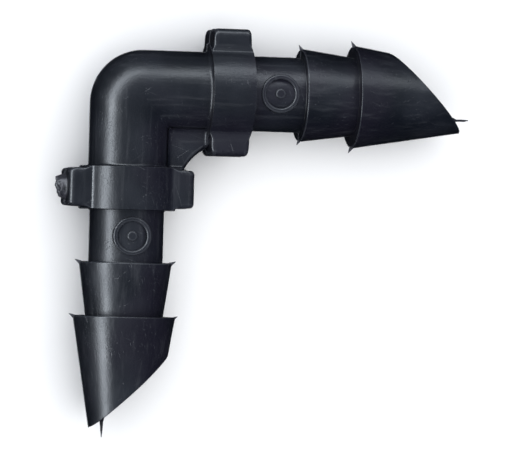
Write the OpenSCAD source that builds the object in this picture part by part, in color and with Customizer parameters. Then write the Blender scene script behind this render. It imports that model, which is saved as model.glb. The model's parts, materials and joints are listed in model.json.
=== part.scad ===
// Barbed 90-degree elbow for 4 mm micro-irrigation tube.
// The real elbow is one moulding. It is divided here at its natural form lines into
// solids that meet face to face, so that each feature has a name of its own.
// Origin: where the two waterway axes cross. Arm a runs along +X, arm b along -Y,
// and the parting plane of the mould is z = 0.

/* [Waterway and bend] */
// Diameter of the waterway through both arms
bore_d = 2.2; // [1.8:0.1:2.8]
// Outer diameter of the round bend
bend_d = 4.5; // [4:0.1:5]
// Radius of the bend's outer back, seen along Z
bend_back_r = 3; // [2.6:0.1:3.6]
// Thickness of the web that fills the inner corner
web_t = 1.3; // [0.8:0.1:2]
// Distance of the web's free edge from an arm's axis, where it meets a collar
web_reach = 3.2; // [2.8:0.1:3.5]
// Radius of the web's hollowed free edge
web_edge_r = 3; // [2:0.1:6]

/* [Stop collars] */
// Distance from the bend's centre to a collar's near face
collar_start = 4.35; // [4:0.05:5]
// Length of a collar along its arm
collar_len = 2.4; // [1.6:0.1:3]
// Diameter of a collar's round ring
ring_d = 5.5; // [5:0.1:6]
// Distance across a collar's two lugs
lug_span = 7.2; // [6.4:0.1:8]
// Thickness of the lugs, square to the plane of the elbow
lug_t = 3.2; // [2.4:0.1:4]
// Draft on each side of a lug, from its root to its end
lug_draft = 0.15; // [0:0.05:0.3]
// Radius on the long edges of a lug
lug_edge_r = 0.35; // [0.1:0.05:0.6]

/* [Barrel and barbs] */
// Outer diameter of the plain barrel behind the middle barb
barrel_d = 4.2; // [3.8:0.1:4.4]
// Length of the plain barrel
barrel_len = 3; // [2:0.1:4]
// Crest diameter of the middle barb
middle_crest_d = 5.25; // [4.8:0.05:5.5]
// Diameter of the middle barb at its front
middle_front_d = 4.4; // [4.2:0.1:4.7]
// Length of the middle barb
middle_len = 3.05; // [2:0.05:4]
// Crest diameter of the end barb
end_crest_d = 5.8; // [5.4:0.1:6.2]
// Half angle of the end barb's cone
end_cone_angle = 9.5; // [8:0.5:10]
// Length of the end barb from its crest to its point
end_len = 6.3; // [5.5:0.1:6.5]
// Angle between the slanting cut of the point and the arm's axis
cut_angle = 46.5; // [40:0.5:55]

/* [Moulding marks] */
// Outer diameter of the raised cavity ring on a barrel
mark_d = 2.2; // [1.6:0.1:2.6]
// Line width of the cavity ring
mark_line = 0.28; // [0.2:0.02:0.4]
// Diameter of the pip in the middle of the ring
mark_pip_d = 0.6; // [0.4:0.1:1]
// Height of the cavity ring above the top of the barrel
mark_h = 0.12; // [0.06:0.02:0.2]
// Diameter of the gate stub on the outer lug of collar b
gate_d = 1.7; // [1:0.1:2]
// Height of the gate stub at its higher side
gate_h = 0.55; // [0.3:0.05:0.8]
// Slope of the break across the gate stub
gate_slope = 14; // [0:1:20]
// Thickness of the flash that the core pin leaves at a point
flash_t = 0.18; // [0.08:0.02:0.24]
// Width of that flash where it leaves the wall
flash_w = 1.1; // [0.6:0.1:1.4]
// Distance that the flash stands out past the point
flash_out = 0.5; // [0.2:0.1:0.8]

/* [Hidden] */
$fn = 96;
eps = 0.01;
bore_r = bore_d / 2;
turn_r = bend_back_r - bend_d / 2;
barrel_start = collar_start + collar_len;
middle_start = barrel_start + barrel_len;
end_start = middle_start + middle_len;
tip_x = end_start + end_len;
tip_r = end_crest_d / 2 - end_len * tan(end_cone_angle);

// Turns what is drawn along arm a onto arm b.
module on_arm_b() rotate([0, 0, -90]) children();

// Round solid along +X, from one station and diameter to another.
module turned(from_x, to_x, from_d, to_d) {
    translate([from_x, 0, 0]) rotate([0, 90, 0])
        cylinder(h = to_x - from_x, d1 = from_d, d2 = to_d);
}

// Cutter for the waterway of arm a, between two stations.
module waterway(from_x, to_x) turned(from_x - eps, to_x + eps, bore_d, bore_d);

// Rod along +X with a half-round end about the origin.
module round_ended(d, length) {
    rotate([0, 90, 0]) rotate_extrude() intersection() {
        union() {
            circle(d = d);
            square([d / 2, length]);
        }
        translate([0, -d]) square([d, d + length]);
    }
}

// Round tube turning about its own centre, from the end of arm a's straight leg.
module bend_back(angle) {
    translate([turn_r, -turn_r, 0]) rotate([0, 0, 90]) rotate_extrude(angle = angle)
        intersection() {
            translate([turn_r, 0]) circle(d = bend_d);
            translate([0, -bend_d]) square(2 * bend_d);
        }
}

// Arm a's side of the bend, up to the mitre plane x + y = 0.
module bend_half() {
    difference() {
        union() {
            turned(turn_r, collar_start, bend_d, bend_d);
            bend_back(60);
        }
        round_ended(bore_d, collar_start + eps);
        rotate([0, 0, 45]) translate([-2 * collar_start, -collar_start, -bend_d])
            cube([2 * collar_start, 2 * collar_start, 2 * bend_d]);
    }
}

module elbow_bend() {
    color("#2d313b") {
        bend_half();
        mirror([1, 1, 0]) bend_half();
    }
}

module corner_web() {
    edge_mid = (collar_start + web_reach) / 2;
    half_chord = (collar_start - web_reach) / sqrt(2);
    edge_centre = edge_mid + sqrt(pow(web_edge_r, 2) - pow(half_chord, 2)) / sqrt(2);
    color("#282c35") difference() {
        translate([0, 0, -web_t / 2]) linear_extrude(web_t) difference() {
            translate([0, -collar_start]) square(collar_start);
            translate([edge_centre, -edge_centre]) circle(r = web_edge_r);
        }
        turned(-eps, collar_start + eps, bend_d, bend_d);
        on_arm_b() turned(-eps, collar_start + eps, bend_d, bend_d);
    }
}

// Cross-section of the two lugs, looking along the arm, with rounded long edges.
module lug_section() {
    square([lug_t, lug_span - 2 * lug_edge_r], center = true);
    square([lug_t - 2 * lug_edge_r, lug_span], center = true);
    for (x = [-1, 1], y = [-1, 1])
        translate([x * (lug_t / 2 - lug_edge_r), y * (lug_span / 2 - lug_edge_r)])
            circle(r = lug_edge_r);
}

// Outline of one lug in the plane of the elbow, narrowing to its end.
module lug_outline() {
    polygon([
        [0, 0], [lug_draft, lug_span / 2 + eps],
        [collar_len - lug_draft, lug_span / 2 + eps], [collar_len, 0]
    ]);
}

module stop_collar() {
    difference() {
        union() {
            turned(collar_start, barrel_start, ring_d, ring_d);
            translate([collar_start, 0, 0]) intersection() {
                rotate([0, 90, 0]) linear_extrude(collar_len) lug_section();
                translate([0, 0, -lug_t]) linear_extrude(2 * lug_t) {
                    lug_outline();
                    mirror([0, 1]) lug_outline();
                }
            }
        }
        waterway(collar_start, barrel_start);
    }
}

module barrel() {
    difference() {
        turned(barrel_start, middle_start, barrel_d, barrel_d);
        waterway(barrel_start, middle_start);
    }
}

module middle_barb() {
    difference() {
        turned(middle_start, end_start, middle_crest_d, middle_front_d);
        waterway(middle_start, end_start);
    }
}

// The point lies on the -Y side of arm a; everything beyond the slanting cut is removed.
module end_barb() {
    difference() {
        turned(end_start, tip_x, end_crest_d, 2 * tip_r);
        waterway(end_start, tip_x);
        translate([tip_x, -tip_r, 0]) rotate([0, 0, -cut_angle])
            translate([-2 * end_len, 0, -end_crest_d])
                cube([4 * end_len, 2 * end_len, 2 * end_crest_d]);
    }
}

// A plain ring with a pip, standing on the top of the barrel.
module cavity_ring() {
    centre_x = (barrel_start + middle_start) / 2;
    difference() {
        translate([centre_x, 0, 0]) {
            difference() {
                cylinder(h = barrel_d / 2 + mark_h, d = mark_d);
                translate([0, 0, -eps])
                    cylinder(h = barrel_d, d = mark_d - 2 * mark_line);
            }
            cylinder(h = barrel_d / 2 + mark_h, d = mark_pip_d);
        }
        turned(barrel_start, middle_start, barrel_d, barrel_d);
    }
}

// Thin curved sliver that runs on from the wall of the waterway, narrowing to its end.
module tip_flash() {
    rim_x = tip_x - (tip_r - bore_r) / tan(cut_angle);
    end_x = tip_x + flash_out;
    outer_d = bore_d + 2 * flash_t;
    difference() {
        intersection() {
            turned(rim_x, end_x, outer_d, outer_d);
            rotate([90, 0, 0]) linear_extrude(outer_d)
                polygon([[rim_x, -flash_w / 2], [end_x, -flash_w / 12],
                         [end_x, flash_w / 12], [rim_x, flash_w / 2]]);
        }
        waterway(rim_x, end_x);
        end_barb();
    }
}

// Broken stub of the sprue on the end of the outer lug of arm b, sloping along the arm.
module gate_stub() {
    middle_x = collar_start + collar_len / 2;
    color("#3c404b") on_arm_b() mirror([0, 1, 0]) difference() {
        translate([middle_x, lug_span / 2, 0]) rotate([-90, 0, 0])
            cylinder(h = gate_h, d1 = gate_d, d2 = 0.7 * gate_d);
        translate([middle_x - 0.35 * gate_d, lug_span / 2 + gate_h, 0])
            rotate([0, 0, -gate_slope])
                translate([-gate_d, 0, -gate_d]) cube([4 * gate_d, gate_d, 2 * gate_d]);
    }
}

elbow_bend();
corner_web();
color("#343843") stop_collar();  // stop_collar_a
color("#2d313b") barrel();  // barrel_a
color("#30343f") middle_barb();  // middle_barb_a
color("#2a2e38") end_barb();  // end_barb_a
color("#454a56") cavity_ring();  // cavity_ring_a
color("#1c1f27") tip_flash();  // tip_flash_a
color("#343843") on_arm_b() stop_collar();  // stop_collar_b
color("#2d313b") on_arm_b() barrel();  // barrel_b
color("#30343f") on_arm_b() middle_barb();  // middle_barb_b
color("#2a2e38") on_arm_b() end_barb();  // end_barb_b
color("#454a56") on_arm_b() cavity_ring();  // cavity_ring_b
color("#1c1f27") on_arm_b() tip_flash();  // tip_flash_b
gate_stub();
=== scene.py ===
import json
import math

import bmesh
import bpy
import numpy as np
from mathutils import Matrix, Vector, noise


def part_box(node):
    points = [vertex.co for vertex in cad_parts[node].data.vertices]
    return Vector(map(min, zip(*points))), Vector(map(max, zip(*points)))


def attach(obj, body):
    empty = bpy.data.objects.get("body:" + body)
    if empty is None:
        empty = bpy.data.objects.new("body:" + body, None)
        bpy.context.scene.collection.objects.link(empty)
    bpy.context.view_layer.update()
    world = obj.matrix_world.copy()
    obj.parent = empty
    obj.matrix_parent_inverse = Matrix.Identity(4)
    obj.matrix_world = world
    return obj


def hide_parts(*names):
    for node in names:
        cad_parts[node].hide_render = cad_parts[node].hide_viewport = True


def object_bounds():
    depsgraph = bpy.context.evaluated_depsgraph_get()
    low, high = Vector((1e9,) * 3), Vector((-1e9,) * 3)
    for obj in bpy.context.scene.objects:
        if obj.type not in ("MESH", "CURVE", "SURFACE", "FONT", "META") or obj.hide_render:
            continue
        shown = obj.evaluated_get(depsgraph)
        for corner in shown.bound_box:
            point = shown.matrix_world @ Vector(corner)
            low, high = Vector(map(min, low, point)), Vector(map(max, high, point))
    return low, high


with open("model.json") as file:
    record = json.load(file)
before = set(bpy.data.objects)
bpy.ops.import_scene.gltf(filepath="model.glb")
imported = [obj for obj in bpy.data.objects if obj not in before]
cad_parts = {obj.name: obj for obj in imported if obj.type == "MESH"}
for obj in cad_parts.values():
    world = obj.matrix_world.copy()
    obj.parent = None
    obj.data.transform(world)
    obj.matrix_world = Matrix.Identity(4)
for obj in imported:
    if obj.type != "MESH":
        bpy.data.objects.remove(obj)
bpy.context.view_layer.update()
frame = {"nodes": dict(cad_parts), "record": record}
print("frame loaded:", len(frame["nodes"]), "features of one moulding")

mm = 0.001
armTurn = {"a": 0.0, "b": -math.pi / 2}  # arm a points along +X, arm b along -Y


def spanOf(node, axis):
    low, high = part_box(node)
    return low[axis], high[axis]


def waterwayRadius():
    for mount in frame["record"]["mounts"]:
        if mount["name"] == "waterway_a":
            return mount["dims"]["r_mm"] * mm


# stations along an arm and radii across it, all read from the frame
boreR = waterwayRadius()
bendR = spanOf("elbow_bend", 2)[1]
collarStart, collarEnd = spanOf("stop_collar_a", 0)
ringR = spanOf("stop_collar_a", 2)[1]
lugEnd = spanOf("stop_collar_a", 1)[1]
barrelR = spanOf("barrel_a", 2)[1]
middleStart, middleEnd = spanOf("middle_barb_a", 0)
middleCrestR = spanOf("middle_barb_a", 2)[1]
pointStart, pointEnd = spanOf("end_barb_a", 0)
pointCrestR = spanOf("end_barb_a", 2)[1]
webHalf = spanOf("corner_web", 2)[1]
markTop = spanOf("cavity_ring_a", 2)[1]
markR = (spanOf("cavity_ring_a", 0)[1] - spanOf("cavity_ring_a", 0)[0]) / 2
flashEnd = spanOf("tip_flash_a", 0)[1]
gateEnd = spanOf("gate_stub", 0)[0]

# no box of the frame shows these three
middleFrontR = 2.2 * mm
coneSlope = math.tan(math.radians(9.5))
cutSlope = math.tan(math.radians(46.5))
pointR = pointCrestR - coneSlope * (pointEnd - pointStart)
lap = 0.02 * mm  # neighbours run this far into each other, so no gap opens between them


class Wire:  # an output socket whose arithmetic adds Math nodes to its own tree
    def __init__(self, socket):
        self.socket = socket

    def calc(self, operation, *others):
        tree = self.socket.id_data
        return addNode(tree, "ShaderNodeMath", {"operation": operation}, dict(enumerate((self, *others))))

    def __add__(self, other):
        return self.calc("ADD", other)

    def __sub__(self, other):
        return self.calc("SUBTRACT", other)

    def __rsub__(self, other):
        return self.calc("MULTIPLY_ADD", -1.0, other)

    def __mul__(self, other):
        return self.calc("MULTIPLY", other)

    def __truediv__(self, other):
        return self.calc("DIVIDE", other)

    __radd__, __rmul__ = __add__, __mul__


def plug(slot, value):
    if isinstance(value, Wire):
        slot.id_data.links.new(value.socket, slot)
    else:
        slot.default_value = value


def addNode(tree, kind, settings=None, sockets=None, out=0):
    node = tree.nodes.new(kind)
    for name, value in (settings or {}).items():
        setattr(node, name, value)
    for name, value in (sockets or {}).items():
        plug(node.inputs[name], value)
    return Wire(node.outputs[out]) if node.outputs else node


def mapRange(value, low, high):  # 0 at low and 1 at high, with a smooth step between them
    return addNode(
        value.socket.id_data, "ShaderNodeMapRange", {"clamp": True, "interpolation_type": "SMOOTHSTEP"},
        {"Value": value, "From Min": low, "From Max": high, "To Min": 0.0, "To Max": 1.0},
    )


def seededNoise(tree, given):  # the seed moves the noise through its fourth dimension
    return addNode(
        tree, "ShaderNodeTexNoise", {"noise_dimensions": "4D"},
        {"Scale": given["Scale"], "Detail": 2.0, "W": given["Seed"]},
    )


def mixColour(tree, share, first, second):
    return addNode(
        tree, "ShaderNodeMix", {"data_type": "RGBA"}, {"Factor": share, "A": first, "B": second}, out=2
    )


def newTree(name, inputs):
    # a Geometry Nodes tree with named inputs, each a plain number or a pair of kind and value
    tree = bpy.data.node_groups.new(name, "GeometryNodeTree")
    tree.interface.new_socket("Geometry", in_out="OUTPUT", socket_type="NodeSocketGeometry")
    tree.interface.new_socket("Geometry", in_out="INPUT", socket_type="NodeSocketGeometry")
    for label, given in inputs.items():
        kind, value = given if isinstance(given, tuple) else ("NodeSocketFloat", given)
        socket = tree.interface.new_socket(label, in_out="INPUT", socket_type=kind)
        if value is not None:
            socket.default_value = value
    entry = tree.nodes.new("NodeGroupInput")
    return tree, {socket.name: Wire(socket) for socket in entry.outputs if socket.name}


def closeTree(tree, geometry, material):
    single = addNode(tree, "GeometryNodeRealizeInstances", None, {"Geometry": geometry})
    painted = addNode(tree, "GeometryNodeSetMaterial", None, {"Geometry": single, "Material": material})
    addNode(tree, "NodeGroupOutput", None, {"Geometry": painted})


def splitVector(vector):  # its X and its Y
    x = addNode(vector.socket.id_data, "ShaderNodeSeparateXYZ", None, {0: vector})
    return x, Wire(x.socket.node.outputs["Y"])


def addNodesModifier(piece, tree, values):
    modifier = piece.modifiers.new(tree.name, "NODES")
    modifier.node_group = tree
    for socket in tree.interface.items_tree:
        if socket.in_out == "INPUT" and socket.name in values:
            modifier[socket.identifier] = values[socket.name]


def newObject(name, points, faces, edges=()):
    mesh = bpy.data.meshes.new(name)
    mesh.from_pydata([tuple(p) for p in points], list(edges), [tuple(f) for f in faces])
    piece = bpy.data.objects.new(name, mesh)
    bpy.context.scene.collection.objects.link(piece)
    return piece


def settle(piece):  # turns what the modifiers give into the piece's own mesh
    graph = bpy.context.evaluated_depsgraph_get()
    baked = bpy.data.meshes.new_from_object(piece.evaluated_get(graph))
    piece.modifiers.clear()
    piece.data = baked


def weld(piece, reach=0.0005 * mm):
    shell = bmesh.new()
    shell.from_mesh(piece.data)
    bmesh.ops.remove_doubles(shell, verts=shell.verts, dist=reach)
    bmesh.ops.dissolve_degenerate(shell, edges=shell.edges, dist=reach / 2)
    bmesh.ops.recalc_face_normals(shell, faces=shell.faces)
    shell.to_mesh(piece.data)
    shell.free()


tiny = 1e-9                      # anything below this counts as 0
straightHalf = math.radians(89)  # half a corner's angle, past which it counts as straight
mostInset = 0.48                 # share of a side that one corner's arc may take
cornerPull = 0.16                # how far points on a side are drawn to its two corners


def arcPoints(corner, before, after, radius, count):
    # the rounded corner between two sides; with no radius, or no turn, it is the corner repeated
    sharp = [corner.copy() for _ in range(count)]
    toBefore = before - corner
    toAfter = after - corner
    reach = min(toBefore.length, toAfter.length)
    if radius <= 0 or reach < tiny:
        return sharp
    toBefore.normalize()
    toAfter.normalize()
    half = math.acos(max(-1.0, min(1.0, toBefore.dot(toAfter)))) / 2
    if half > straightHalf:
        return sharp
    inset = min(radius / math.tan(half), mostInset * reach)
    radius = inset * math.tan(half)
    centre = corner + (toBefore + toAfter).normalized() * (radius / math.sin(half))
    start = corner + toBefore * inset - centre
    end = corner + toAfter * inset - centre
    turn = start.angle_signed(end)
    rays = [Matrix.Rotation(-turn * t, 2) @ start for t in np.linspace(0, 1, count)]
    return [centre + ray for ray in rays]


def roundedProfile(corners, radii, pitch=0.22 * mm, arcCount=7, sideCounts=None):
    # closed outline in (along the arm, distance from its axis); long sides get points of their own
    corners = [Vector(c) for c in corners]
    last = len(corners)
    arcs = [
        arcPoints(corners[i], corners[i - 1], corners[(i + 1) % last], radii[i], arcCount)
        for i in range(last)
    ]
    outline = []
    for i in range(last):
        outline += arcs[i]
        here, there = arcs[i][-1], arcs[(i + 1) % last][0]
        count = sideCounts[i] if sideCounts else max(2, round((there - here).length / pitch))
        for t in range(count):
            share = (t + 0.5) / count
            eased = share - cornerPull * math.sin(2 * math.pi * share)
            outline.append(here.lerp(there, eased))
    return outline


def skin(rings, capped=False):
    # quads between closed rings of equal length; the last one joins the first, or both get a cap
    count = len(rings[0])
    points = [p for ring in rings for p in ring]
    faces = []
    for i in range(len(rings) - 1 if capped else len(rings)):
        j = (i + 1) % len(rings)
        for k in range(count):
            m = (k + 1) % count
            faces.append((i * count + k, i * count + m, j * count + m, j * count + k))
    if capped:
        faces.append(tuple(range(count)))
        faces.append(tuple(range(len(points) - 1, len(points) - count - 1, -1)))
    return points, faces


plasticLook = {  # sizes are in mm across; a range is where a mask begins and where it is full
    "deep": (0.0036, 0.0050, 0.0086, 1.0),
    "pale": (0.0088, 0.0108, 0.0168, 1.0),
    "violet": (0.0088, 0.0074, 0.0148, 1.0),
    "scuff": (0.0420, 0.0460, 0.0560, 1.0),
    "torn": (0.0520, 0.0490, 0.0660, 1.0),
    "ior": 1.5,
    "gloss": 0.34,              # roughness of the skin as moulded
    "flow": 2.6,                # clouds of the melt, which shift tone and gloss
    "flowRange": (0.32, 0.72),
    "flowGloss": 0.22,
    "tint": 4.1,                # broad violet clouds
    "tintRange": (0.48, 0.70),
    "tintShare": 0.6,
    "grain": 0.15,              # the spark-eroded skin of the mould
    "grainDepth": 0.0075,
    "drag": 0.30,               # lines dragged along the arm as it left the mould
    "dragStretch": 0.07,
    "dragRange": (0.50, 0.80),
    "dragShare": 0.35,
    "dragGloss": 0.10,
    "dragDepth": 0.0045,
    "armBlend": 0.1,            # half the zone at the mitre where the drag lines change arms
    "ripple": 1.1,              # cooling ripple
    "rippleDepth": 0.010,
    "rubNoise": 0.9,
    "rubRange": (0.35, 0.95),
    "rubShare": 0.55,
    "rubGloss": -0.07,
    "scratch": 0.08,
    "scratchTurns": (0.35, -0.6, 1.25),  # headings of the three sets, in radians
    "scratchStretch": 0.02,
    "scratchRange": (0.67, 0.75),
    "scratchPatch": 1.7,
    "scratchPatchRange": (0.50, 0.62),
    "scratchShare": 0.5,
    "scratchDepth": 0.007,
    "dust": 0.30,               # between the centres of specks
    "dustRange": (0.17, 0.09),
    "dustPatch": 0.9,
    "dustPatchRange": (0.56, 0.70),
    "dustShare": 0.8,
    "dustGloss": 0.25,
    "tornRange": (0.30, 0.60),
    "tornGloss": 0.22,
    "tornGrain": 1.5,           # how much deeper the grain is where the plastic is torn
}


def plastic(name, torn=0.0):
    look = plasticLook
    material = bpy.data.materials.new(name)
    material.use_nodes = True
    tree = material.node_tree
    tree.nodes.clear()
    place = addNode(tree, "ShaderNodeTexCoord", out="Object")

    def turned(angle, stretch):
        spun = addNode(tree, "ShaderNodeMapping", None, {"Vector": place, "Rotation": (0, 0, angle)})
        return addNode(tree, "ShaderNodeMapping", None, {"Vector": spun, "Scale": (stretch, 1, 1)})

    def cloud(where, size, detail=1.0, rough=0.5):
        return addNode(
            tree, "ShaderNodeTexNoise", None,
            {"Vector": where, "Scale": 1.0 / (size * mm), "Detail": detail, "Roughness": rough},
        )

    x, y = splitVector(place)
    blend = look["armBlend"] * mm
    onArmA = mapRange(x + y, -blend, blend)
    flow = cloud(place, look["flow"], detail=3.0)
    tint = cloud(place, look["tint"])
    dragA, dragB = (
        cloud(turned(angle, look["dragStretch"]), look["drag"], detail=3.0, rough=0.6)
        for angle in (0, math.pi / 2)
    )
    drag = dragA * onArmA + dragB * (1 - onArmA)
    grain = cloud(place, look["grain"], detail=2.0, rough=0.6)
    ripple = cloud(place, look["ripple"])
    rub = addNode(tree, "ShaderNodeAttribute", {"attribute_name": "rub"}, out=2)
    rubbed = mapRange(rub + (grain - 0.5) * look["rubNoise"], *look["rubRange"])

    scratches = 0.0
    for turn in look["scratchTurns"]:
        hair = cloud(turned(turn, look["scratchStretch"]), look["scratch"], rough=0.4)
        patch = mapRange(cloud(place, look["scratchPatch"] + turn), *look["scratchPatchRange"])
        scratches = mapRange(hair, *look["scratchRange"]) * patch + scratches

    cells = addNode(
        tree, "ShaderNodeTexVoronoi", None, {"Vector": place, "Scale": 1.0 / (look["dust"] * mm)}
    )
    dustPatch = mapRange(cloud(place, look["dustPatch"]), *look["dustPatchRange"])
    dust = mapRange(cells, *look["dustRange"]) * dustPatch

    colour = mixColour(tree, mapRange(flow, *look["flowRange"]), look["deep"], look["pale"])
    violet = mapRange(tint, *look["tintRange"]) * look["tintShare"]
    colour = mixColour(tree, violet, colour, look["violet"])
    dragged = mapRange(drag, *look["dragRange"]) * look["dragShare"]
    colour = mixColour(tree, dragged, colour, look["scuff"])
    colour = mixColour(tree, rubbed * look["rubShare"], colour, look["scuff"])
    specks = scratches * look["scratchShare"] + dust * look["dustShare"]
    colour = mixColour(tree, specks, colour, look["scuff"])
    if torn:
        colour = mixColour(tree, mapRange(grain, *look["tornRange"]) * torn, colour, look["torn"])
    roughness = look["gloss"] + (flow - 0.5) * look["flowGloss"] + (drag - 0.5) * look["dragGloss"]
    roughness = roughness + rubbed * look["rubGloss"] + dust * look["dustGloss"]
    roughness = roughness + look["tornGloss"] * torn
    height = grain * (look["grainDepth"] * (1 + look["tornGrain"] * torn)) + drag * look["dragDepth"]
    height = height + ripple * look["rippleDepth"] - scratches * look["scratchDepth"]
    bump = addNode(tree, "ShaderNodeBump", None, {"Strength": 1.0, "Distance": mm, "Height": height})
    shader = addNode(
        tree, "ShaderNodeBsdfPrincipled", None,
        {"Base Color": colour, "Roughness": roughness, "Normal": bump, "IOR": look["ior"]},
    )
    addNode(tree, "ShaderNodeOutputMaterial", None, {"Surface": shader})
    return material


blackPlastic = plastic("blackPlastic")
tornPlastic = plastic("tornPlastic", torn=0.6)
print("plastics mixed")


def buildTurningTree():  # turns a closed profile round +X, and may end it in a slanting cut
    tree, given = newTree("turnProfile", {
        "Meridians": ("NodeSocketInt", 160),
        "Slanted": ("NodeSocketBool", False),
        "Start": 0.0,
        "Crest Radius": 1.0,
        "Cone Slope": 0.0,
        "Bore Radius": 0.0,
        "Point X": 1.0,
        "Point Radius": 1.0,
        "Cut Slope": 1.0,
        "Material": ("NodeSocketMaterial", None),
    })
    profile = given["Geometry"]
    profileCount = addNode(tree, "GeometryNodeAttributeDomainSize", {"component": "MESH"}, {0: profile})
    across = given["Meridians"] + 1
    grid = addNode(
        tree, "GeometryNodeMeshGrid", None,
        {"Size X": 1.0, "Size Y": 1.0, "Vertices X": profileCount + 1, "Vertices Y": across},
    )
    index = addNode(tree, "GeometryNodeInputIndex")
    justOver = 0.0001  # keeps the division from rounding down at a row's first point
    row = (index / across + justOver).calc("FLOOR")
    column = index - row * across
    sampled = addNode(
        tree, "GeometryNodeSampleIndex", {"data_type": "FLOAT_VECTOR", "domain": "POINT"},
        {"Geometry": profile, "Value": addNode(tree, "GeometryNodeInputPosition"),
         "Index": row.calc("FLOORED_MODULO", profileCount)},
    )
    along, radius = splitVector(sampled)
    angle = column / given["Meridians"] * (2 * math.pi)
    cosine, sine = angle.calc("COSINE"), angle.calc("SINE")

    start, crest, slope = given["Start"], given["Crest Radius"], given["Cone Slope"]
    bore, cut = given["Bore Radius"], given["Cut Slope"]
    length = given["Point X"] - start
    share = (along - start) / length                       # how far towards the point
    depth = (radius - bore) / (crest - slope * (along - start) - bore)  # how far out in the wall
    lean = cosine / cut
    reach = length - given["Point Radius"] / cut
    flat = crest - bore
    travel = share * (reach - lean * (bore + depth * flat)) / (1 - share * lean * depth * slope)
    newRadius = bore + depth * (flat - slope * travel)

    def either(off, on):
        return addNode(
            tree, "GeometryNodeSwitch", {"input_type": "FLOAT"},
            {"Switch": given["Slanted"], "False": off, "True": on},
        )

    x, r = either(along, start + travel), either(radius, newRadius)
    where = addNode(tree, "ShaderNodeCombineXYZ", None, {"X": x, "Y": r * cosine, "Z": r * sine})
    turned = addNode(tree, "GeometryNodeSetPosition", None, {"Geometry": grid, "Position": where})
    welded = addNode(
        tree, "GeometryNodeMergeByDistance", None, {"Geometry": turned, "Distance": 0.0004 * mm}
    )
    closeTree(tree, welded, given["Material"])
    return tree


def buildSkinTree():  # the slight unevenness of a moulded skin
    tree, given = newTree("unevenSkin", {
        "Depth": 0.01 * mm,
        "Scale": 900.0,
        "Seed": 1.0,
        "Material": ("NodeSocketMaterial", None),
    })
    push = (seededNoise(tree, given) - 0.5) * given["Depth"]
    normal = addNode(tree, "GeometryNodeInputNormal")
    shift = addNode(tree, "ShaderNodeVectorMath", {"operation": "SCALE"}, {0: normal, "Scale": push})
    moved = addNode(
        tree, "GeometryNodeSetPosition", None, {"Geometry": given["Geometry"], "Offset": shift}
    )
    closeTree(tree, moved, given["Material"])
    return tree


def buildSeamTree():  # a rounded ridge along a line, thick and thin by turns
    tree, given = newTree("seamRidge", {
        "Half Width": 0.03 * mm,
        "Swing": 0.5,
        "Scale": 1900.0,
        "Seed": 1.0,
        "Material": ("NodeSocketMaterial", None),
    })
    line = addNode(tree, "GeometryNodeMeshToCurve", None, {"Mesh": given["Geometry"]})
    width = 1.0 + (seededNoise(tree, given) - 0.5) * given["Swing"] * 2
    ringlet = addNode(
        tree, "GeometryNodeCurvePrimitiveCircle", None, {"Resolution": 8, "Radius": given["Half Width"]}
    )
    ridge = addNode(
        tree, "GeometryNodeCurveToMesh", None,
        {"Curve": line, "Profile Curve": ringlet, "Scale": width, "Fill Caps": True},
    )
    closeTree(tree, ridge, given["Material"])
    return tree


def buildToothTree():  # thin pointed whiskers on points, each turned by its "spin"
    tree, given = newTree("flashTeeth", {
        "Length": 0.3 * mm,
        "Width": 0.1 * mm,
        "Thickness": 0.04 * mm,
        "Least Size": 0.7,
        "Most Size": 1.15,
        "Seed": ("NodeSocketInt", 1),
        "Material": ("NodeSocketMaterial", None),
    })
    spike = addNode(
        tree, "GeometryNodeMeshCone", None,
        {"Vertices": 10, "Side Segments": 6, "Fill Segments": 2, "Radius Top": 0.12,
         "Radius Bottom": 1.0, "Depth": 1.0},
    )
    size = addNode(
        tree, "ShaderNodeCombineXYZ", None,
        {"X": given["Thickness"], "Y": given["Width"], "Z": given["Length"]},
    )
    thin = addNode(tree, "GeometryNodeTransform", None, {"Geometry": spike, "Scale": size})
    laid = addNode(
        tree, "GeometryNodeTransform", None, {"Geometry": thin, "Rotation": (0, math.pi / 2, 0)}
    )
    spin = addNode(
        tree, "GeometryNodeInputNamedAttribute", {"data_type": "FLOAT"}, {"Name": "spin"}
    )
    turn = addNode(tree, "ShaderNodeCombineXYZ", None, {"Z": spin})
    grow = addNode(
        tree, "FunctionNodeRandomValue", {"data_type": "FLOAT"},
        {2: given["Least Size"], 3: given["Most Size"], "Seed": given["Seed"]}, out=1,
    )
    placed = addNode(
        tree, "GeometryNodeInstanceOnPoints", None,
        {"Points": given["Geometry"], "Instance": laid, "Rotation": turn, "Scale": grow},
    )
    closeTree(tree, placed, given["Material"])
    return tree


turnTree = buildTurningTree()
skinTree = buildSkinTree()
seamTree = buildSeamTree()
toothTree = buildToothTree()
print("node trees built")

skinLook = {
    "depth": 0.034 * mm,
    "scale": 620.0,
    "seed": 3.0,
    "sharpAngle": math.radians(52),
    "rubStart": 0.9,  # turn of the surface per mm at which an edge begins to be rubbed
    "rubSpan": 4.0,   # and how much more makes it fully so
}


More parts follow.
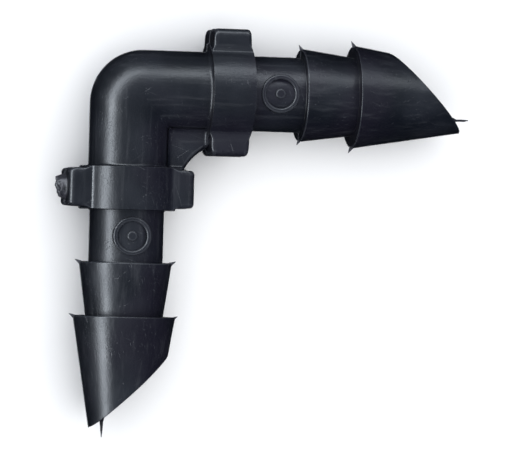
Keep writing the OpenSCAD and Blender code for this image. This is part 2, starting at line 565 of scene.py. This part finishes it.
def markRubbedEdges(mesh):
    # "rub" is 0 on the broad surfaces and 1 on convex edges, which knocks and handling polish
    count = len(mesh.vertices)
    place = np.empty(count * 3)
    mesh.vertices.foreach_get("co", place)
    place = place.reshape(-1, 3)
    out = np.empty(count * 3)
    mesh.vertices.foreach_get("normal", out)
    out = out.reshape(-1, 3)
    ends = np.empty(len(mesh.edges) * 2, dtype=int)
    mesh.edges.foreach_get("vertices", ends)
    first, second = ends[0::2], ends[1::2]
    step = place[second] - place[first]
    squared = np.maximum((step * step).sum(axis=1), 1e-14)  # never a division by 0
    bend = np.zeros(count)
    np.maximum.at(bend, first, -2 * (step * out[first]).sum(axis=1) / squared)
    np.maximum.at(bend, second, 2 * (step * out[second]).sum(axis=1) / squared)
    share = np.clip((bend * mm - skinLook["rubStart"]) / skinLook["rubSpan"], 0, 1)
    layer = mesh.attributes.new("rub", "FLOAT", "POINT")
    layer.data.foreach_set("value", share)


def finishPiece(piece, material, nodes, arm="a", depth=1.0):
    weld(piece)
    piece.data.transform(Matrix.Rotation(armTurn[arm], 4, "Z"))
    addNodesModifier(piece, skinTree, {
        "Depth": skinLook["depth"] * depth, "Scale": skinLook["scale"],
        "Seed": skinLook["seed"], "Material": material,
    })
    settle(piece)
    piece.data.polygons.foreach_set("use_smooth", [True] * len(piece.data.polygons))
    piece.data.set_sharp_from_angle(angle=skinLook["sharpAngle"])
    markRubbedEdges(piece.data)
    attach(piece, "root")
    if nodes:
        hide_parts(*nodes)


def turnedPiece(name, outline, material, slanted=False, meridians=168):
    loop = [(i, (i + 1) % len(outline)) for i in range(len(outline))]
    piece = newObject(name, [(p[0], p[1], 0) for p in outline], [], loop)
    addNodesModifier(piece, turnTree, {
        "Meridians": meridians, "Slanted": slanted, "Start": pointStart - lap,
        "Crest Radius": pointCrestR, "Cone Slope": coneSlope, "Bore Radius": boreR,
        "Point X": pointEnd, "Point Radius": pointR, "Cut Slope": cutSlope, "Material": material,
    })
    settle(piece)
    return piece


bendLook = {
    "backRadius": 3.0 * mm,    # the bend's outer back, seen along Z
    "innerRound": 0.16 * mm,   # the soft line in the crook of the bend
    "rootRound": 0.16 * mm,    # where a leg runs into its collar
    "fibres": 176,
    "legSteps": 26,
    "legEase": 1.7,            # steps crowd towards the collar, where the fillet is
    "turnSteps": 26,
}


def bendFibre(radius, angle, backRadius, rootRound, innerRound):
    # one line of the wall, from collar a round the corner to collar b
    offset, height = radius * math.cos(angle), radius * math.sin(angle)
    free = backRadius - radius + offset  # below 0 in the crook, where the two legs cross
    turnR = (free + innerRound + math.hypot(free - innerRound, innerRound)) / 2
    centreX, centreY = turnR - offset, offset - turnR
    end = collarStart + lap
    leg = []
    for i in range(bendLook["legSteps"]):
        share = (i / bendLook["legSteps"]) ** bendLook["legEase"]
        x = end + (centreX - end) * share
        rise = min(rootRound, max(0.0, rootRound - (collarStart - x)))
        swell = rootRound - math.sqrt(max(0.0, rootRound ** 2 - rise ** 2))
        scale = (radius + swell) / radius
        leg.append((x, offset * scale, height * scale))
    turn = []
    for i in range(bendLook["turnSteps"] + 1):
        a = math.pi / 2 * (1 + i / bendLook["turnSteps"])
        turn.append((centreX + turnR * math.cos(a), centreY + turnR * math.sin(a), height))
    back = [(-y, -x, z) for x, y, z in reversed(leg)]
    return leg + turn + back


def bendPiece():
    rings = []
    for i in range(bendLook["fibres"]):
        angle = 2 * math.pi * i / bendLook["fibres"]
        outside = bendFibre(
            bendR, angle, bendLook["backRadius"], bendLook["rootRound"], bendLook["innerRound"]
        )
        inside = bendFibre(boreR, angle, boreR, 0.0, 0.0)
        rings.append(outside + inside[::-1])
    piece = newObject("elbowBend", *skin(rings))
    finishPiece(piece, blackPlastic, ["elbow_bend"])


bendPiece()
print("bend made")


webLook = {
    "tubeFillet": 0.34 * mm,
    "collarFillet": 0.18 * mm,
    "edgeRound": 0.30 * mm,
    "edgeRadius": 3.0 * mm,  # of the hollow free edge
    "reach": 3.2 * mm,      # where the free edge meets a collar
    "inset": 0.16 * mm,     # how far the web is sunk into the round legs
    "buried": 0.25 * mm,    # and into the collars, whose lugs lean back
    "edgePower": 2.4,       # 2 would make the free edge a true ellipse
    "rays": 90,
    "steps": 46,
    "stepEase": 1.8,        # steps crowd towards the far end of a ray
}


def webHollow():  # centre of the web's hollow edge, and half the chord that the edge spans
    middle = (collarStart + webLook["reach"]) / 2
    halfChord = (collarStart - webLook["reach"]) / math.sqrt(2)
    away = math.sqrt(webLook["edgeRadius"] ** 2 - halfChord ** 2) / math.sqrt(2)
    return (middle + away, -middle - away), halfChord


def webPiece():
    look = webLook
    sunk = bendR - look["inset"]
    far = collarStart + look["buried"]
    hollow = Vector(webHollow()[0])
    origin = Vector((sunk, -sunk))

    def lift(distance, fillet):
        inside = max(0.0, min(fillet, fillet - distance))
        return fillet - math.sqrt(fillet * fillet - inside * inside)

    def heightAt(p):
        rise = webHalf
        rise += lift(p.x - sunk, look["tubeFillet"]) + lift(-p.y - sunk, look["tubeFillet"])
        rise += lift(collarStart - p.x, look["collarFillet"])
        rise += lift(collarStart + p.y, look["collarFillet"])
        fromEdge = (p - hollow).length - look["edgeRadius"]
        if fromEdge < look["edgeRound"]:
            part = 1 - max(0.0, fromEdge) / look["edgeRound"]
            rise *= math.sqrt(max(0.0, 1 - part ** look["edgePower"]))
        return rise

    def rayLength(direction):
        longest = (far - sunk) / max(direction.x, -direction.y)
        toCentre = origin - hollow
        b = toCentre.dot(direction)
        c = toCentre.length_squared - look["edgeRadius"] ** 2
        inside = b * b - c
        if inside > 0:
            hit = -b - math.sqrt(inside)
            if 0 < hit < longest:
                return hit
        return longest

    top = []
    for i in range(look["rays"] + 1):
        angle = -math.pi / 2 * i / look["rays"]
        direction = Vector((math.cos(angle), math.sin(angle)))
        length = rayLength(direction)
        line = []
        for k in range(look["steps"] + 1):
            share = 1 - (1 - k / look["steps"]) ** look["stepEase"]
            p = origin + direction * (length * share)
            line.append(Vector((p.x, p.y, heightAt(p))))
        top.append(line)
    rows, columns = len(top), len(top[0])
    points = [p for line in top for p in line]
    points += [Vector((p.x, p.y, -p.z)) for line in top for p in line]
    under = rows * columns
    faces = []
    for i in range(rows - 1):
        for k in range(columns - 1):
            a, b = i * columns + k, (i + 1) * columns + k
            faces.append((a, a + 1, b + 1, b))
            faces.append((under + a, under + b, under + b + 1, under + a + 1))
    rim = list(range(columns))  # the top's outline, walked once round to join it to the underside
    rim += [i * columns + columns - 1 for i in range(1, rows)]
    rim += [(rows - 1) * columns + k for k in range(columns - 2, -1, -1)]
    for a, b in zip(rim, rim[1:] + rim[:1]):
        faces.append((a, under + a, under + b, b))
    piece = newObject("cornerWeb", points, faces)
    finishPiece(piece, blackPlastic, ["corner_web"])


webPiece()
print("corner web made")


collarLook = {
    "lugHalf": 1.6 * mm,       # half the thickness of a lug
    "lugRound": 0.38 * mm,     # on its long edges
    "draft": 0.15 * mm,
    "footShare": 0.77,         # of the draft, already gone where the lug leaves the ring
    "stepRound": 0.05 * mm,
    "edgeRound": 0.32 * mm,    # round the ring's two rims
    "endRound": 0.24 * mm,     # across the end of a lug
    "rootBlend": 0.10 * mm,    # where a lug leaves the ring
    "fullDraft": 0.4 * mm,     # height above the ring at which a lug has its whole draft
    "rimDrop": 0.02 * mm,      # how far the ring's flat sides end below its round surface
    "rimLift": 0.01 * mm,      # and how much of that is regained where a lug's foot begins
    "sink": 0.035 * mm,        # hollow that cooling leaves in a lug's end
    "sinkZone": 0.3 * mm,      # only this close to the end
    "meridians": 300,
    "probes": 4000,            # directions tried when the meridians are shared out
    "turnLimit": 0.05,         # a sharper turn than this, in radians, counts no more
    "turnWeight": 1.2 * mm,    # length of outline that a turn of one radian is worth
    "sideCounts": [5, 3, 5, 12, 5, 3, 5, 3],
}


def lugRadius(cosine, sine):
    # distance from the axis to a rounded rectangle, along one direction
    look = collarLook
    c, s = abs(cosine), abs(sine)
    coreY, coreZ = lugEnd - look["lugRound"], look["lugHalf"] - look["lugRound"]
    if c > tiny and lugEnd / c * s <= coreZ:
        return lugEnd / c
    if s > tiny and look["lugHalf"] / s * c <= coreY:
        return look["lugHalf"] / s
    b = c * coreY + s * coreZ
    return b + math.sqrt(max(0.0, b * b - coreY ** 2 - coreZ ** 2 + look["lugRound"] ** 2))


def collarAngles():
    # meridians closer together where a lug's faces turn
    look = collarLook
    fine = np.linspace(0, 2 * math.pi, look["probes"], endpoint=False)
    radii = np.array([max(ringR, lugRadius(math.cos(a), math.sin(a))) for a in fine])
    x, y = radii * np.cos(fine), radii * np.sin(fine)
    stepX, stepY = np.diff(x, append=x[0]), np.diff(y, append=y[0])
    turn = np.abs(np.diff(np.unwrap(np.arctan2(stepY, stepX)), append=0))
    turn = np.minimum(turn, look["turnLimit"])
    weight = np.cumsum(np.hypot(stepX, stepY) + turn * look["turnWeight"])
    wanted = np.linspace(0, weight[-1], look["meridians"], endpoint=False)
    return np.interp(wanted, weight - weight[0], fine)


def collarPiece(arm):
    look = collarLook
    rings = []
    x0, x1 = collarStart, collarEnd
    root = ringR - look["rimDrop"]
    lifted = root + look["rimLift"]
    for angle in collarAngles():
        cosine, sine = math.cos(angle), math.sin(angle)
        lug = lugRadius(cosine, sine)
        blend = look["rootBlend"]
        over = lug - ringR
        out = ringR + (over + math.sqrt(over * over + blend * blend)) / 2
        out = min(out, max(lug, ringR + blend / 2))
        standing = max(0.0, out - ringR)
        step = look["draft"] * min(1.0, standing / look["fullDraft"]) * abs(cosine) * out / lugEnd
        foot = step * look["footShare"]
        corners = [
            (x0, boreR), (x0, root), (x0 + foot, lifted), (x0 + step, out),
            (x1 - step, out), (x1 - foot, lifted), (x1, root), (x1, boreR),
        ]
        top = look["edgeRound"] + (look["endRound"] - look["edgeRound"]) * min(1, standing / mm)
        stepRound = min(look["stepRound"], step / 2)
        radii = [0, stepRound, stepRound, top, top, stepRound, stepRound, 0]
        outline = roundedProfile(corners, radii, sideCounts=look["sideCounts"])
        ring = []
        for p in outline:
            r = p.y
            if r > lugEnd - look["sinkZone"]:
                middle = 1 - ((p.x - (x0 + x1) / 2) / ((x1 - x0) / 2)) ** 2
                across = max(0.0, 1 - (r * sine / look["lugHalf"]) ** 2)
                r -= look["sink"] * max(0.0, middle) * across
            ring.append((p.x, r * cosine, r * sine))
        rings.append(ring)
    piece = newObject("stopCollar." + arm, *skin(rings))
    finishPiece(piece, blackPlastic, ["stop_collar_" + arm], arm=arm)


for arm in "ab":
    collarPiece(arm)
print("stop collars made")


barbLook = {
    "rootRound": 0.15 * mm,     # barrel into collar
    "stepRound": 0.07 * mm,     # in the corner under a barb's back face
    "crestRound": 0.055 * mm,   # the gripping edge
    "cutRound": 0.10 * mm,      # outer edge of the slanting cut
    "mouthRound": 0.07 * mm,    # edge of the waterway in the cut
    "conePitch": 0.16 * mm,
    "coneMeridians": 200,
}


def barrelPiece(arm):
    look = barbLook
    start, end = collarEnd - lap, middleStart + lap
    foot, neck = look["rootRound"], look["stepRound"]
    corners = [
        (start, boreR), (start, barrelR + foot), (collarEnd, barrelR + foot), (collarEnd, barrelR),
        (middleStart, barrelR), (middleStart, barrelR + neck), (end, barrelR + neck), (end, boreR),
    ]
    radii = [0, 0, 0, foot, neck, 0, 0, 0]
    piece = turnedPiece("barrel." + arm, roundedProfile(corners, radii), blackPlastic)
    finishPiece(piece, blackPlastic, ["barrel_" + arm], arm=arm)


def middleBarbPiece(arm):
    look = barbLook
    neck = look["stepRound"]
    end = middleEnd + lap
    corners = [
        (middleStart, boreR), (middleStart, middleCrestR), (middleEnd, middleFrontR),
        (middleEnd, middleFrontR + neck), (end, middleFrontR + neck), (end, boreR),
    ]
    radii = [0, look["crestRound"], neck, 0, 0, 0]
    piece = turnedPiece("middleBarb." + arm, roundedProfile(corners, radii), blackPlastic)
    finishPiece(piece, blackPlastic, ["middle_barb_" + arm], arm=arm)


def endBarbPiece(arm):
    look = barbLook
    corners = [
        (pointStart - lap, boreR), (pointStart - lap, pointCrestR), (pointEnd, pointR), (pointEnd, boreR),
    ]
    radii = [0, look["crestRound"], look["cutRound"], look["mouthRound"]]
    outline = roundedProfile(corners, radii, pitch=look["conePitch"])
    piece = turnedPiece("endBarb." + arm, outline, blackPlastic, True, look["coneMeridians"])
    finishPiece(piece, blackPlastic, ["end_barb_" + arm], arm=arm)


for arm in "ab":
    barrelPiece(arm)
    middleBarbPiece(arm)
    endBarbPiece(arm)
print("barrels and barbs made")


markLook = {
    "line": 0.28 * mm,
    "pip": 0.30 * mm,       # radius of the pip in the middle
    "edge": 0.105 * mm,
    "buried": 1.62 * mm,    # height over the arm's axis at which both begin, inside the barrel
    "pitch": 0.1 * mm,
    "arcCount": 5,
    "meridians": 96,
}


def cavityRingPiece(arm):
    look = markLook
    middle = (collarEnd + middleStart) / 2
    low, high = look["buried"], markTop
    ringCorners = [(low, markR - look["line"]), (high, markR - look["line"]), (high, markR), (low, markR)]
    pipCorners = [(low, 0), (high, 0), (high, look["pip"]), (low, look["pip"])]
    parts = []
    for corners in (ringCorners, pipCorners):
        radii = [0, look["edge"] if corners[1][1] else 0, look["edge"], 0]
        outline = roundedProfile(corners, radii, look["pitch"], look["arcCount"])
        parts.append(turnedPiece("cavityRing." + arm, outline, blackPlastic, False, look["meridians"]))
    ring, pip = parts
    both = bmesh.new()
    both.from_mesh(ring.data)
    both.from_mesh(pip.data)
    both.to_mesh(ring.data)
    both.free()
    bpy.data.objects.remove(pip)
    ring.data.transform(Matrix.Rotation(-math.pi / 2, 4, "Y"))
    ring.data.transform(Matrix.Translation((middle, 0, 0)))
    finishPiece(ring, blackPlastic, ["cavity_ring_" + arm], arm=arm, depth=0.3)


for arm in "ab":
    cavityRingPiece(arm)
print("cavity rings made")


flashLook = {
    "thickness": 0.17 * mm,
    "step": 0.01 * mm,       # its inner face stands this far outside the waterway's wall
    "halfWidth": 0.58 * mm,
    "sunk": 0.35 * mm,       # how far inside the rim of the cut it begins
    "peakPower": 1.35,
    "tears": ((3.1, 0, 0.35), (9.0, 2, 0.16)),  # how close, which layer of the noise, how deep
    "leastReach": 0.22,      # share of its length that the two sides keep
    "tipThin": 0.75,         # share of the thickness lost at the end
    "sideThin": 0.65,        # and at the two sides
    "curl": 0.10 * mm,
    "seeds": {"a": 4.0, "b": 9.5},
    "columns": 34,
    "rows": 30,
}


def tipFlashPiece(arm):
    # a torn sliver that runs on from the wall of the waterway past the point
    look = flashLook
    start = pointEnd - (pointR - boreR) / cutSlope - look["sunk"]
    seed = look["seeds"][arm]
    face = boreR + look["step"]
    rings = []
    for i in range(look["columns"] + 1):
        across = 2 * i / look["columns"] - 1
        tears = [noise.noise(Vector((across * near, seed, z))) * deep for near, z, deep in look["tears"]]
        tall = max(0.0, 1 - abs(across)) ** look["peakPower"]
        tall = max(0.0, tall * (1 + sum(tears)))
        reach = (flashEnd - start) * (look["leastReach"] + (1 - look["leastReach"]) * tall)
        angle = across * look["halfWidth"] / boreR
        thick = look["thickness"] * (1 - look["sideThin"] * across * across)
        inner, outer = [], []
        for k in range(look["rows"] + 1):
            along = k / look["rows"]
            r = face + look["curl"] * along * along * noise.noise(Vector((across * 2, along, seed)))
            for line in (inner, outer):
                line.append((start + reach * along, -r * math.cos(angle), r * math.sin(angle)))
                r += thick * (1 - look["tipThin"] * along)
        rings.append(inner + outer[::-1])
    piece = newObject("tipFlash." + arm, *skin(rings, capped=True))
    finishPiece(piece, tornPlastic, ["tip_flash_" + arm], arm, depth=0.5)


for arm in "ab":
    tipFlashPiece(arm)
print("tip flash made")


seamLook = {
    "halfWidth": 0.028 * mm,
    "pitch": 0.11 * mm,
    "swing": 0.55,         # how much its width comes and goes
    "scale": 1900.0,
    "seed": 6.0,
    "runOut": 0.3 * mm,    # straight stretch on either side of a collar
    "arcCount": 5,
    "bendSteps": 16,
    "webSteps": 10,
}


def alongPath(corners, pitch):
    path = [Vector(corners[0])]
    for start, end in zip(corners, corners[1:]):
        start, end = Vector(start), Vector(end)
        steps = max(1, round((end - start).length / pitch))
        path += [start.lerp(end, (i + 1) / steps) for i in range(steps)]
    return path


def collarSide():  # the parting line over one lug, from the barrel to the leg
    look = collarLook
    drop, foot, end = look["draft"], look["draft"] * look["footShare"], lugEnd - look["sink"] / 2
    corners = [
        (collarEnd + seamLook["runOut"], barrelR), (collarEnd, barrelR),
        (collarEnd, ringR), (collarEnd - foot, ringR), (collarEnd - drop, end),
        (collarStart + drop, end), (collarStart + foot, ringR), (collarStart, ringR),
        (collarStart, bendR), (collarStart - seamLook["runOut"], bendR),
    ]
    corners = [Vector(c) for c in corners]
    step, top = look["stepRound"], look["endRound"]
    radii = (barbLook["rootRound"], step, step, top, top, step, step, bendLook["rootRound"])
    line = [corners[0]]
    for i, radius in enumerate(radii, 1):
        line += arcPoints(corners[i], corners[i - 1], corners[i + 1], radius, seamLook["arcCount"])
    return [tuple(p) for p in line + corners[-1:]]


def armSide(side):  # the parting line down one side of arm a, from its point to the leg
    if side > 0:
        rise = pointR + pointCrestR + coneSlope * pointStart
        x = (pointEnd - rise / cutSlope) / (1 - coneSlope / cutSlope)
        line = [(x, pointCrestR - coneSlope * (x - pointStart))]
    else:
        line = [(pointEnd, pointR)]
    line += [
        (pointStart, pointCrestR), (pointStart, middleFrontR),
        (middleStart, middleCrestR), (middleStart, barrelR),
    ]
    return [(x, side * r) for x, r in line + collarSide()]


def onArmB(line):  # the same stretch of arm b, walked from the bend outwards
    return [(y, -x) for x, y in reversed(line)]


def webSide():  # the web's hollow edge, from collar a to collar b
    (x, y), halfChord = webHollow()
    radius, steps = webLook["edgeRadius"], seamLook["webSteps"]
    spread = math.asin(halfChord / radius)
    turns = [3 * math.pi / 4 + spread * (2 * i / steps - 1) for i in range(steps + 1)]
    return [(x + radius * math.cos(t), y + radius * math.sin(t)) for t in turns]


def partingSeam():  # the thin ridge where the two halves of the mould met
    legPoints = 3 * seamLook["arcCount"] + 1  # those past the lug, which the web covers
    steps = seamLook["bendSteps"]
    turns = [math.pi / 2 * i / steps for i in range(steps + 1)]
    back = bendLook["backRadius"]
    turn = back - bendR
    bend = [(turn - back * math.sin(t), back * math.cos(t) - turn) for t in turns]
    outer = armSide(1) + bend + onArmB(armSide(-1))
    inner = armSide(-1)[:-legPoints] + webSide() + onArmB(armSide(1)[:-legPoints])
    points, loops = [], []
    for line in (outer, inner):
        path = alongPath(line, seamLook["pitch"])
        loops += [(len(points) + i, len(points) + i + 1) for i in range(len(path) - 1)]
        points += [(p.x, p.y, 0) for p in path]
    piece = newObject("partingSeam", points, [], loops)
    addNodesModifier(piece, seamTree, {
        "Half Width": seamLook["halfWidth"], "Swing": seamLook["swing"],
        "Scale": seamLook["scale"], "Seed": seamLook["seed"], "Material": blackPlastic,
    })
    settle(piece)
    finishPiece(piece, blackPlastic, [], depth=0.0)


partingSeam()
print("parting seam made")


toothLook = {
    "length": 0.34 * mm,
    "width": 0.12 * mm,
    "thickness": 0.045 * mm,
    "lean": 0.5,  # back from the gripping edge, in radians
    "sunk": 0.05 * mm,
    "seed": 11,
}


def crestFlash():  # whiskers of plastic squeezed out where the seam crosses a gripping edge
    look = toothLook
    points, spins = [], []
    for x, r in ((middleStart, middleCrestR), (pointStart, pointCrestR)):
        for side in (1, -1):
            points.append((x + look["sunk"], side * (r - look["sunk"]), 0))
            spins.append(side * (math.pi / 2 + look["lean"]))
    points += [(-y, -x, 0) for x, y, z in points]
    spins += [-math.pi / 2 - spin for spin in spins]
    piece = newObject("crestFlash", points, [])
    layer = piece.data.attributes.new("spin", "FLOAT", "POINT")
    layer.data.foreach_set("value", spins)
    addNodesModifier(piece, toothTree, {
        "Length": look["length"], "Width": look["width"], "Thickness": look["thickness"],
        "Seed": look["seed"], "Material": tornPlastic,
    })
    settle(piece)
    finishPiece(piece, tornPlastic, [], depth=0.0)


crestFlash()
print("crest flash made")


gateLook = {
    "radius": 0.85 * mm,
    "topShare": 0.70,      # how far the neck narrows towards the break
    "slope": 0.42,         # the break leans down towards the barrel
    "ridge": 0.11 * mm,    # height of the torn ridges
    "sunk": 0.08 * mm,     # how far it begins inside the lug
    "neckPower": 0.6,      # below 1 the neck narrows most at its foot
    "lump": 0.13,          # how uneven its outline is
    "lumpScale": 1.4,
    "tearScale": (1.9 / mm, 4.2 / mm),  # the torn ridges run along the arm
    "tearNoise": (0.6, 2.1, 5),         # roughness, spacing and number of the octaves
    "seed": 21.0,
    "rounds": 132,
    "neckRows": 14,
    "faceRows": 22,
}


def gateStubPiece():
    # the broken gate on the outer lug of collar b, drawn on arm a's lug at -Y and turned
    look = gateLook
    middle = (collarStart + collarEnd) / 2
    base = lugEnd - look["sunk"]
    height = -gateEnd - base
    steps = []
    for i in range(look["neckRows"] + 1):
        rise = i / look["neckRows"]
        steps.append((1 - (1 - look["topShare"]) * rise ** look["neckPower"], rise))
    steps += [(look["topShare"] * (1 - i / look["faceRows"]), 1.0) for i in range(1, look["faceRows"])]
    tearX, tearZ = look["tearScale"]
    rings = []
    for wide, rise in steps:
        ring = []
        for i in range(look["rounds"]):
            angle = 2 * math.pi * i / look["rounds"]
            u, w = math.cos(angle), math.sin(angle)
            lumpAt = Vector((u * look["lumpScale"], w * look["lumpScale"], look["seed"] + rise))
            spread = look["radius"] * wide * (1 + look["lump"] * noise.noise(lumpAt))
            u, w = u * spread, w * spread
            torn = noise.fractal(Vector((u * tearX, w * tearZ, look["seed"])), *look["tearNoise"])
            drop = look["slope"] * (0.5 + u / look["radius"] * 0.5)
            y = base + (height * (1 - drop) - look["ridge"] * (0.5 - torn)) * rise
            ring.append((middle + u, -min(y, -gateEnd), w))
        rings.append(ring)
    piece = newObject("gateStub", *skin(rings, capped=True))
    finishPiece(piece, tornPlastic, ["gate_stub"], "b", depth=0.5)


gateStubPiece()
print("gate stub made")


stageLook = {
    "floor": (0.90, 0.90, 0.905, 1.0),
    "floorHalf": 0.6,
    "floorGap": 0.001 * mm,
    "floorRoughness": 0.9,
    "sky": (0.74, 0.85, 1.0, 1.0),
    "skyHeading": (-0.45, 0.40, 0.80),       # where the sky is brightest
    "skyRange": (-0.35, 0.90),
    "gloom": (0.012, 0.013, 0.018, 1.0),     # what the plastic mirrors away from it
    "skyStrength": 0.32,
    "backdrop": (0.80, 0.82, 0.85, 1.0),     # what the camera sees behind the floor
    "panels": 9,
    "panelSize": 0.15,
    "panelColour": (0.86, 0.93, 1.0),
    "panelPower": (0.80, 0.10),              # of the first, on the left, and of the last, at the back
    "panelHeading": (math.radians(205), math.radians(45)),
    "panelRise": (math.radians(24), math.radians(40)),
    "away": 0.42,
    "ceilingAngle": math.radians(110),
    "ceilingPower": 3.7,
}
low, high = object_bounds()
middlePoint = Vector(((low.x + high.x) / 2, (low.y + high.y) / 2, 0))


def makeFloor():
    half = stageLook["floorHalf"]
    z = low.z - stageLook["floorGap"]
    corners = [(-half, -half, z), (half, -half, z), (half, half, z), (-half, half, z)]
    floor = newObject("floor", corners, [(0, 1, 2, 3)])
    material = bpy.data.materials.new("paleFloor")
    material.use_nodes = True
    shader = material.node_tree.nodes["Principled BSDF"]
    shader.inputs["Base Color"].default_value = stageLook["floor"]
    shader.inputs["Roughness"].default_value = stageLook["floorRoughness"]
    floor.data.materials.append(material)
    floor.visible_glossy = False


def areaLight(name, place, size, power, colour):
    light = bpy.data.lights.new(name, "AREA")
    light.shape = "DISK"
    light.size = size
    light.energy = power
    light.color = colour
    lamp = bpy.data.objects.new(name, light)
    lamp.location = middlePoint + place
    lamp.rotation_euler = (middlePoint - lamp.location).to_track_quat("-Z", "Y").to_euler()
    bpy.context.scene.collection.objects.link(lamp)
    return lamp


def makeLights():
    look = stageLook
    for i in range(look["panels"]):  # a row of soft panels from the left round to the back
        share = i / (look["panels"] - 1)
        power, heading, rise = (
            first + (last - first) * share
            for first, last in (look["panelPower"], look["panelHeading"], look["panelRise"])
        )
        flat = math.cos(rise)
        place = Vector((math.cos(heading) * flat, math.sin(heading) * flat, math.sin(rise)))
        place *= look["away"]
        panel = areaLight("panel%d" % (i + 1), place, look["panelSize"], power, look["panelColour"])
        panel.visible_diffuse = False
    sun = bpy.data.lights.new("whiteCeiling", "SUN")
    sun.angle = look["ceilingAngle"]
    sun.energy = look["ceilingPower"]
    ceiling = bpy.data.objects.new("whiteCeiling", sun)
    ceiling.visible_glossy = False
    bpy.context.scene.collection.objects.link(ceiling)
    world = bpy.data.worlds.new("studio")
    world.use_nodes = True
    tree = world.node_tree
    tree.nodes.clear()
    heading = addNode(tree, "ShaderNodeTexCoord")
    toward = addNode(
        tree, "ShaderNodeVectorMath", {"operation": "DOT_PRODUCT"},
        {0: heading, 1: look["skyHeading"]}, out=1,
    )
    colour = mixColour(tree, mapRange(toward, *look["skyRange"]), look["gloom"], look["sky"])
    glow = addNode(tree, "ShaderNodeBackground", None, {"Color": colour, "Strength": look["skyStrength"]})
    backdrop = addNode(tree, "ShaderNodeBackground", None, {"Color": look["backdrop"]})
    seen = addNode(tree, "ShaderNodeLightPath")  # its first output is 1 for the camera's own rays
    both = addNode(tree, "ShaderNodeMixShader", None, {0: seen, 1: glow, 2: backdrop})
    addNode(tree, "ShaderNodeOutputWorld", None, {"Surface": both})
    bpy.context.scene.world = world


cameraLook = {
    "distance": 0.30,
    "lean": math.radians(11),   # off the vertical, towards -X
    "roll": math.radians(1.6),
    "frameWidth": 29.6 * mm,    # what the view takes in at the object's middle
    "sensorWidth": 36.0,
    "clip": (0.01, 5.0),
}


def makeCamera():
    look = cameraLook
    camera = bpy.data.cameras.new("camera")
    camera.sensor_width = look["sensorWidth"]
    camera.lens = look["sensorWidth"] * look["distance"] / look["frameWidth"]
    camera.clip_start, camera.clip_end = look["clip"]
    eye = bpy.data.objects.new("camera", camera)
    back = Vector((-math.sin(look["lean"]), 0, math.cos(look["lean"])))
    up = Matrix.Rotation(look["roll"], 3, back) @ Vector((0, 1, 0))
    across = up.cross(back)
    turn = Matrix((across, up, back)).transposed().to_4x4()
    eye.matrix_world = Matrix.Translation(middlePoint + back * look["distance"]) @ turn
    bpy.context.scene.collection.objects.link(eye)
    bpy.context.scene.camera = eye


makeFloor()
makeLights()
makeCamera()
bpy.context.scene.view_settings.view_transform = "Standard"
print("stage set")
